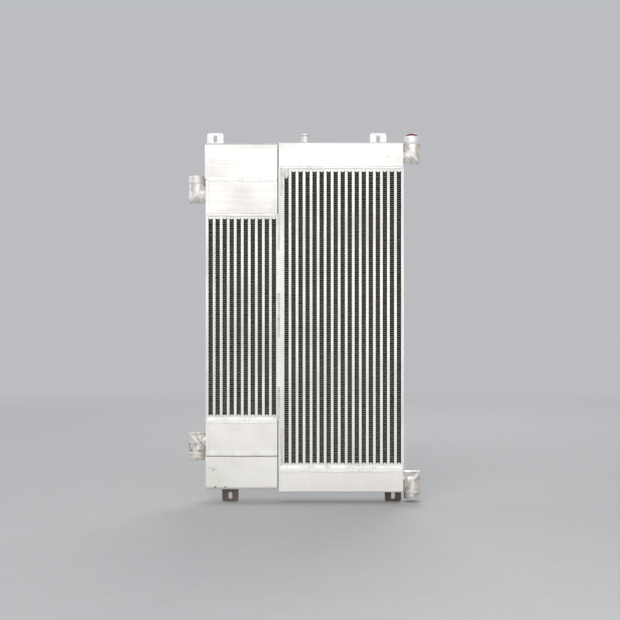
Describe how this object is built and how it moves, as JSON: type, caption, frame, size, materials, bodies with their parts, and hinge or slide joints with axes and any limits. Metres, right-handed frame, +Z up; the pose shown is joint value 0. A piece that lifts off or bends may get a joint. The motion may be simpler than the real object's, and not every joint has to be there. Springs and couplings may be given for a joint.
{
  "type": "hydraulic oil cooler",
  "caption": "Tall bar-and-plate aluminium oil cooler: a short core and a full-height core side by side, with header tanks, mitred elbow ports, slotted lugs and a vent plug.",
  "frame": {"origin": "midway between the two lower lug slots, on their centre line and in the middle of the lugs' thickness, which is the cooler's middle plane", "axes": "+Z up along the cores, +X towards the main core, -Y is the front face"},
  "size_m": [0.5401, 0.086, 0.86],
  "materials": {
    "core_alloy": "brazed, matt silver white",
    "air_fin_alloy": "thin brazed sheet, dull",
    "oil_fin_alloy": "thin brazed sheet, inside the oil passages",
    "tank_alloy": "acid-brightened extrusion, satin white",
    "port_alloy": "turned and sawn tube, satin, a little stained",
    "lug_alloy": "sawn plate, satin",
    "vent_plug_alloy": "turned, bright",
    "seal_rubber": "matt black",
    "plug_plastic": "moulded, satin red"
  },
  "bodies": {
    "cooler": {"bottom_spacer_box": "tank_alloy", "bottom_spacer_caps": "tank_alloy", "lug_lower_left": "lug_alloy", "lug_lower_right": "lug_alloy", "lug_upper_left": "lug_alloy", "lug_upper_right": "lug_alloy", "main_bottom_port_collar": "port_alloy", "main_bottom_port_leg": "port_alloy", "main_bottom_port_stub": "port_alloy", "main_bottom_tank_body": "tank_alloy", "main_bottom_tank_cap_left": "tank_alloy", "main_bottom_tank_cap_right": "tank_alloy", "main_core_air_bars_bottom": "core_alloy", "main_core_air_bars_top": "core_alloy", "main_core_air_fins": "air_fin_alloy", "main_core_oil_bars_front": "core_alloy", "main_core_oil_bars_rear": "core_alloy", "main_core_oil_turbulators": "oil_fin_alloy", "main_core_parting_sheets": "core_alloy", "main_core_side_plate_left": "core_alloy", "main_core_side_plate_right": "core_alloy", "main_top_port_collar": "port_alloy", "main_top_port_leg": "port_alloy", "main_top_port_stub": "port_alloy", "main_top_tank_body": "tank_alloy", "main_top_tank_cap_left": "tank_alloy", "main_top_tank_cap_right": "tank_alloy", "small_bottom_port_collar": "port_alloy", "small_bottom_port_leg": "port_alloy", "small_bottom_port_stub": "port_alloy", "small_bottom_tank_body": "tank_alloy", "small_bottom_tank_cap_left": "tank_alloy", "small_bottom_tank_cap_right": "tank_alloy", "small_core_air_bars_bottom": "core_alloy", "small_core_air_bars_top": "core_alloy", "small_core_air_fins": "air_fin_alloy", "small_core_oil_bars_front": "core_alloy", "small_core_oil_bars_rear": "core_alloy", "small_core_oil_turbulators": "oil_fin_alloy", "small_core_parting_sheets": "core_alloy", "small_core_side_plate_left": "core_alloy", "small_core_side_plate_right": "core_alloy", "small_top_port_collar": "port_alloy", "small_top_port_leg": "port_alloy", "small_top_port_stub": "port_alloy", "small_top_tank_body": "tank_alloy", "small_top_tank_cap_left": "tank_alloy", "small_top_tank_cap_right": "tank_alloy", "tie_bar_front": "core_alloy", "tie_bar_rear": "core_alloy", "top_spacer_box": "tank_alloy", "top_spacer_caps": "tank_alloy", "vent_boss": "lug_alloy"},
    "vent_seal": {"vent_seal": "seal_rubber"},
    "vent_plug": {"vent_plug": "vent_plug_alloy"},
    "transit_plug": {"transit_plug": "plug_plastic"}
  },
  "joints": [
    {"name": "vent_plug_lift", "type": "slide", "parent": "cooler", "child": "vent_seal", "axis": [0, 0, 1], "range_m": [0, 0.01204]},
    {"name": "vent_plug_turn", "type": "hinge", "parent": "vent_seal", "child": "vent_plug", "pos_m": [-0.0157, 0, 0.838], "axis": [0, 0, 1], "range_deg": [0, 3240]},
    {"name": "transit_plug_pull", "type": "slide", "parent": "cooler", "child": "transit_plug", "axis": [0, 0, 1], "range_m": [0, 0.03]}
  ],
  "couplings": [
    {"joint": "vent_plug_lift", "follows": "vent_plug_turn", "m_per_rad": 0.00021279}
  ]
}
